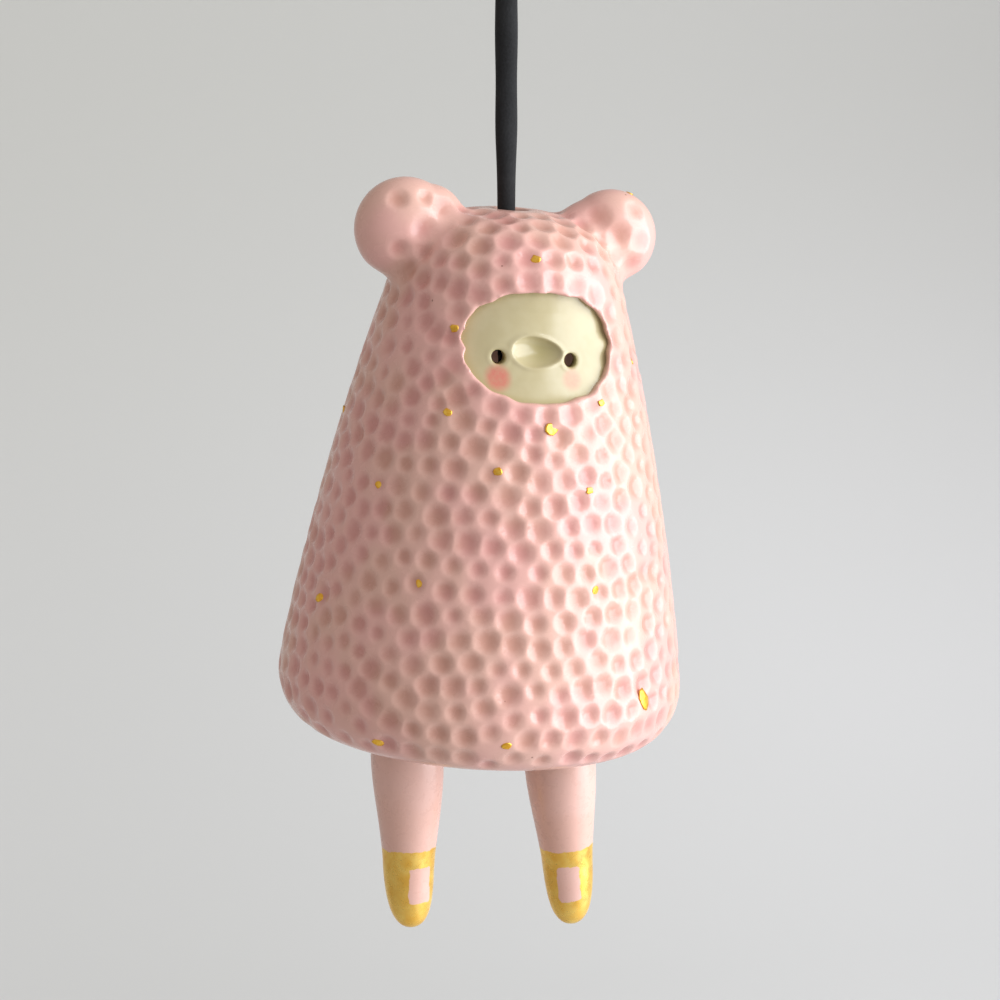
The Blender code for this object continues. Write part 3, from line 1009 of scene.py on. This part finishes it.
def face_blank():
    """The plate before its eyes are pierced: a front and a back sheet, joined at the rim."""
    rings, spokes = 74, 180
    edge = np.array(superellipse(FACE_HALF, FACE_POWER, spokes, grow=FACE_OVERLAP))
    shares = np.linspace(0, 1, rings + 1)[1:]
    x = np.concatenate([[0.0], np.outer(shares, edge[:, 0]).ravel()]) + FACE[0]
    depth = FACE[1] - np.concatenate([[0.0], np.outer(shares, edge[:, 1]).ravel()])
    front = face_front(x, depth, np.concatenate([[0.0], np.repeat(shares, spokes)]))
    back = np.sqrt((radius_at(depth) - FACE_SUNK - FACE_THICK) ** 2 - x**2)
    back = np.minimum(back, front - 1.0)
    bm = bmesh.new()
    made = []
    for y in (front, back):
        sheet = [bm.verts.new((px, -py, -pd)) for px, py, pd in zip(x, y, depth)]
        for k in range(spokes):
            bm.faces.new((sheet[0], sheet[1 + k], sheet[1 + (k + 1) % spokes]))
        made.append([sheet[i : i + spokes] for i in range(1, len(sheet), spokes)])
    skin_rings(bm, made[0] + made[1][::-1], ends=False)
    return solid_object("face_plate", bm)


def make_face():
    """The smooth plate in the hood's opening, with pierced eyes and a dent for the nose."""
    face = face_blank()
    turns = np.linspace(0, 2 * pi, 49)[:-1]
    for eye_x, eye_depth in EYES:
        drill = [(eye_x + EYE_R * cos(a), EYE_R * sin(a) - eye_depth) for a in turns]
        cut(face, prism("drill", drill, -40.0, -4.0))
    points = points_of(face)
    x, depth = points[:, 0], -points[:, 2]
    blush = np.zeros(len(points))
    for cheek_x, cheek_depth, radius, strength in CHEEKS:
        gap = np.hypot(x - cheek_x, depth - cheek_depth)
        blush = np.maximum(blush, strength * smoothstep(radius * 1.3, radius * 0.5, gap))
    # Painted shade: the dent's olive grows from 0.3 on its left to full on its right side, where
    # its wall is in shade.
    right_wall_shade = 0.3 + 0.7 * smoothstep(-0.5, 0.3, (x - NOSE[0]) / NOSE_HALF[0])
    pool = np.clip(nose_dent(x, depth) / NOSE_DEEP, 0, 1) ** 0.7 * right_wall_shade
    pool = np.maximum(pool, 0.6 * smoothstep(0.88, 1.0, window_share(x, depth)))
    for eye_x, eye_depth in EYES:
        gap = np.hypot(x - eye_x, depth - eye_depth)
        pool = np.maximum(pool, smoothstep(EYE_R * 1.22, EYE_R * 0.98, gap))
    set_attribute(face, "blush", blush)
    set_attribute(face, "pool", pool)
    finished(face, bell, "bell", face_material(), ["face_panel"])


# ---------------- gold flecks


def add_fleck(bm, lay, length, width, corners):
    """One flake: an uneven outline, low at its edge."""
    made = []
    for height, share in FLECK_LAYERS:
        ring = []
        for k, corner in enumerate(corners):
            b = 2 * pi * k / len(corners)
            across, up = length * 0.6 * corner * share, width * 0.6 * corner * share
            ring.append(bm.verts.new(lay @ (Vector((across * cos(b), up * sin(b), height)) * MM)))
        made.append(ring)
    skin_rings(bm, made)


def make_flecks(hood):
    """Little gold flakes fired onto the glaze, at listed spots and a few more behind."""
    rng = Random(23)
    spots = list(FLECKS)
    for _ in range(FLECKS_BEHIND):
        turn, depth = rng.uniform(85, 265), rng.uniform(6, 75)
        spots.append((turn, depth, rng.uniform(1.0, 1.7), rng.uniform(0.9, 1.4)))
    surface = surface_of(hood)
    bm = bmesh.new()
    for turn, depth, length, width in spots:
        a = radians(turn)
        outward = Vector((sin(a), -cos(a), 0.0))
        start = outward * 60.0 - Vector((0.0, 0.0, depth))
        spot, normal, _, _ = surface.ray_cast(bell @ (start * MM), bell.to_3x3() @ -outward)
        if spot is None:
            continue
        turn_to = normal.to_track_quat("Z", "Y").to_matrix().to_4x4()
        lay = Matrix.Translation(spot) @ turn_to @ Matrix.Rotation(rng.uniform(-0.4, 0.4), 4, "Z")
        add_fleck(bm, lay, length, width, [rng.uniform(0.75, 1.15) for _ in range(9)])
    flecks = bm_object("gold_flecks", bm)
    finished(flecks, Matrix.Scale(1 / MM, 4), "bell", gold_material())


# ---------------- stopper, bridge and legs


def rounded(outline, radius, closed=True, steps=5):
    """An outline with its corners rounded off."""
    result = []
    count = len(outline)
    for i, corner in enumerate(outline):
        corner = Vector(corner)
        before, after = Vector(outline[i - 1]), Vector(outline[(i + 1) % count])
        if not closed and i in (0, count - 1):
            result.append(tuple(corner))
            continue
        reach = min(radius, (before - corner).length / 2, (after - corner).length / 2)
        start = corner + (before - corner).normalized() * reach
        end = corner + (after - corner).normalized() * reach
        for k in range(steps):
            t = k / (steps - 1)
            result.append(tuple(start.lerp(corner, t).lerp(corner.lerp(end, t), t)))
    return result


def make_stopper():
    """The leather washer, which leans with the bell, and the wooden bead under it."""
    hole, radius, top, thick = WASHER
    outline = rounded([(hole, top), (radius, top), (radius, top + thick), (hole, top + thick)], 0.4)
    washer = turned("leather_washer", outline, 72, closed=True)
    rough = points_of(washer)
    rough[:, 2] += 0.06 * np.sin(3 * np.arctan2(rough[:, 1], rough[:, 0]) + 1.0)
    set_points(washer, rough)
    finished(washer, bell, "washer", leather_material(), ["stopper_washer"])
    bore = CORD_D / 2 + GAP
    start = np.arcsin(bore / BEAD_R)
    outline = [(BEAD_R * sin(a), -BEAD_R * cos(a)) for a in np.linspace(start, pi - start, 33)]
    mouth = BEAD_R * cos(start) - 0.1
    outline += [(bore, mouth), (bore, -mouth)]
    bead = turned("wooden_bead", rounded(outline, 0.35, steps=4), 80, closed=True)
    place = Matrix.Translation(pivot)
    finished(bead, place, "bead", wood_material(), ["stopper_bead"])


def make_bridge():
    """The rolled clay bar, luted to the wall at both ends, with a groove for each thread."""
    half_groove = GROOVE_WIDTH / 2
    chamfer = BRIDGE_R - GROOVE_R
    end = float(radius_at(BRIDGE_DEPTH)) - WALL - 0.2
    luted = [(0.0, end), (BRIDGE_R + 1.5, end), (BRIDGE_R + 0.5, end - 1.0), (BRIDGE_R, end - 2.6)]
    outline = [(r, -x) for r, x in luted]
    for x in (-LEG_SPREAD, LEG_SPREAD):
        outline += [
            (BRIDGE_R, x - half_groove - chamfer),
            (GROOVE_R, x - half_groove),
            (GROOVE_R, x + half_groove),
            (BRIDGE_R, x + half_groove + chamfer),
        ]
    outline += luted[::-1]
    bar = turned("luted_bridge", rounded(outline, 0.7, closed=False), 64)
    modified(bar, "SUBSURF", levels=1)
    points = points_of(bar)
    out = np.stack([points[:, 0], points[:, 1], np.zeros(len(points))], axis=1)
    out /= np.maximum(np.linalg.norm(out, axis=1), 1e-6)[:, None]
    wobble = np.sin(points[:, 2] * 0.9 + 1.3) * 0.05 + np.sin(points[:, 2] * 0.37) * 0.06
    set_points(bar, points + out * (wobble - 0.11)[:, None])
    place = bell @ Matrix.Translation((0.0, 0.0, -BRIDGE_DEPTH * MM))
    place = place @ Matrix.Rotation(-pi / 2, 4, "Y")
    finished(bar, place, "bell", clay_material(), ["clapper_bridge"])


def twisted(name, path, strands, strand_r, offset, pitch):
    """A laid thread: strands that wind round one another along a path."""
    points = [Vector(p) for p in path]
    fine = []
    for a, b in zip(points, points[1:]):
        fine += [a.lerp(b, i / 6) for i in range(6)]
    fine.append(points[-1])
    pieces = []
    for k in range(strands):
        run, wound = 0.0, []
        for i, (point, across, other) in enumerate(frames(fine)):
            if i:
                run += (point - fine[i - 1]).length
            a = 2 * pi * k / strands + 2 * pi * run / pitch
            wound.append(point + (across * cos(a) + other * sin(a)) * offset)
        pieces.append(swept(f"{name}_{k}", wound, lambda t: (strand_r, strand_r, 0.0), 10))
    return joined(name, pieces)


def leg_outline():
    """The leg's (radius, depth) outline: a round top, a full calf, an ankle and a round toe."""
    top = bezier((0.0, 0.0), (3.2, 0.0), (4.8, 1.2), (5.0, 5.0), 20)
    thigh = bezier((5.0, 5.0), (5.2, 8.0), (CALF[0], 11.0), CALF, 20)
    shin = bezier(CALF, (CALF[0], 19.0), (4.5, 24.0), ANKLE, 36)
    toe = bezier(ANKLE, (3.75, 34.5), (3.6, LEG_LENGTH), (0.0, LEG_LENGTH), 44)
    return top + thigh[1:] + shin[1:] + toe[1:]


def shoe_paint(around, depth):
    """Signed distance into the painted shoe, in millimetres: a strap, a toe cap and the heel."""
    above = depth - STRAP_TOP
    middle, half_height = (STRAP_BOTTOM + INSTEP_BOTTOM) / 2, (INSTEP_BOTTOM - STRAP_BOTTOM) / 2
    u = np.abs(around) - (INSTEP_HALF - INSTEP_CORNER)
    v = np.abs(depth - middle) - (half_height - INSTEP_CORNER)
    past = np.hypot(np.maximum(u, 0), np.maximum(v, 0)) + np.minimum(np.maximum(u, v), 0)
    return np.minimum(above, past - INSTEP_CORNER)


def make_thread(name, hang, drop):
    """The laid loop that goes over the bridge."""
    over = GROOVE_R + GAP + THREAD_D / 2 + THREAD_SLACK
    foot = TIE_Z - drop + TIE_R[1] + GAP
    down = bezier((over, 0.0), (over, -2.6), (1.4, foot + 2.2), (0.65, foot), 12)
    arch = [(over * cos(pi * i / 20), over * sin(pi * i / 20)) for i in range(21)]
    line = down[:0:-1] + arch + [(-y, z) for y, z in down[1:]]
    line = [(0.0, y, z) for y, z in line]
    thread = twisted(name + "_laid_thread", line, 2, THREAD_D * 0.27, THREAD_D * 0.22, 2.2)
    place, replaced = Matrix.Translation(hang), [name + "_leg_thread"]
    finished(thread, place, name + "_thread", linen, replaced)


def make_tie(name, place):
    """The knot below the loop, and the small ring of thread that goes through the wire eye."""
    tie_z = TIE_Z - EYE_Z
    knot = []
    for i in range(61):
        t = i / 60
        a = 2 * pi * 2.25 * t
        wide = sin(pi * (0.15 + 0.7 * t))
        knot.append((1.0 * cos(a) * wide, 1.0 * sin(a), tie_z + 0.62 - 1.24 * t))
    wound = swept("tie_knot", knot, lambda t: (0.42, 0.42, 0.0), 10)
    core = ball("tie_core", (0.8, 0.8, 0.85), (0.0, 0.0, tie_z), 2)
    turns = np.linspace(radians(70), radians(430), 37)
    r, z = TIE_LOOP_R, tie_z - TIE_LOOP_DROP
    ring = [(0.0, r * cos(a), z + r * sin(a)) for a in turns]
    ring = swept("tie_ring", ring, lambda t: (0.38, 0.38, 0.0), 10)
    tie = joined(name + "_tied_knot", [wound, core, ring])
    finished(tie, place, name + "_tie", linen, [name + "_leg_tie"])


def make_wire(name, place):
    """The wire eye, whose two feet are fired into the leg's top."""
    r = WIRE_EYE_R
    bow = [(r * cos(a), 0.0, r * (sin(a) - 1.0)) for a in np.linspace(0, pi, 25)]
    end = LEG_TOP - EYE_Z - 0.6
    path = [(r, 0.0, end), *bow, (-r, 0.0, end)]
    wire = swept(name + "_wire_bow", path, lambda t: (WIRE_D / 2, WIRE_D / 2, 0.0), 12)
    finished(wire, place, name + "_leg", steel, [name + "_leg_eye"])


def make_leg(name):
    """A leg, a little uneven, with its painted shoe, and all that it hangs on."""
    side, drop, lean, shoe = LEGS[name]
    hang = bell @ (Vector((side * LEG_SPREAD, 0.0, -BRIDGE_DEPTH)) * MM)
    low = Matrix.Translation(hang + Vector((0.0, 0.0, (EYE_Z - drop) * MM)))
    make_thread(name, hang, drop)
    make_tie(name, low)
    make_wire(name, low)
    leg = turned(name + "_porcelain_leg", leg_outline(), 112)
    points = points_of(leg)
    depth = -points[:, 2]
    forward = radians(shoe)
    angle = np.arctan2(points[:, 0], -points[:, 1]) - forward
    angle = (angle + pi) % (2 * pi) - pi
    around = angle * np.maximum(np.hypot(points[:, 0], points[:, 1]), 0.5)
    set_attribute(leg, "shoe", shoe_paint(around, depth))
    rng = Random(41 + side)
    swell = 0.07 * np.sin(depth * 0.21 + rng.uniform(0, 6)) * np.cos(angle + rng.uniform(0, 6))
    points[:, :2] *= (1 + swell * 0.35)[:, None]
    pushed = TOE_FORWARD * smoothstep(30.0, LEG_LENGTH, depth)
    points[:, 0] += pushed * sin(forward)
    points[:, 1] -= pushed * cos(forward)
    set_points(leg, points)
    lean_away = LEG_LENGTH / 2 * sin(radians(lean))
    place = low @ Matrix.Translation(Vector((-lean_away, 0.0, LEG_TOP - EYE_Z)) * MM)
    place = place @ Matrix.Rotation(-radians(lean), 4, "Y")
    finished(leg, place, name + "_leg", skin, [name + "_leg"])


# ---------------- all together

low_corner, high_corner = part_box("stopper_bead")
pivot = (Vector(low_corner) + Vector(high_corner)) / 2
lean = Matrix.Rotation(radians(BELL_LEAN), 4, "Y")
crown_z = pivot.z / MM + PIVOT_DEPTH
bell = Matrix.Translation(pivot) @ lean @ Matrix.Translation((0.0, 0.0, PIVOT_DEPTH * MM))

add_camera(bell.translation)
black = cord_material()
make_cord()
add_sweep()
add_lights()
hood = make_hood()
make_face()
make_flecks(hood)
make_stopper()
make_bridge()
linen = thread_material()
steel = wire_material()
skin = leg_material()
for leg_name in LEGS:
    make_leg(leg_name)
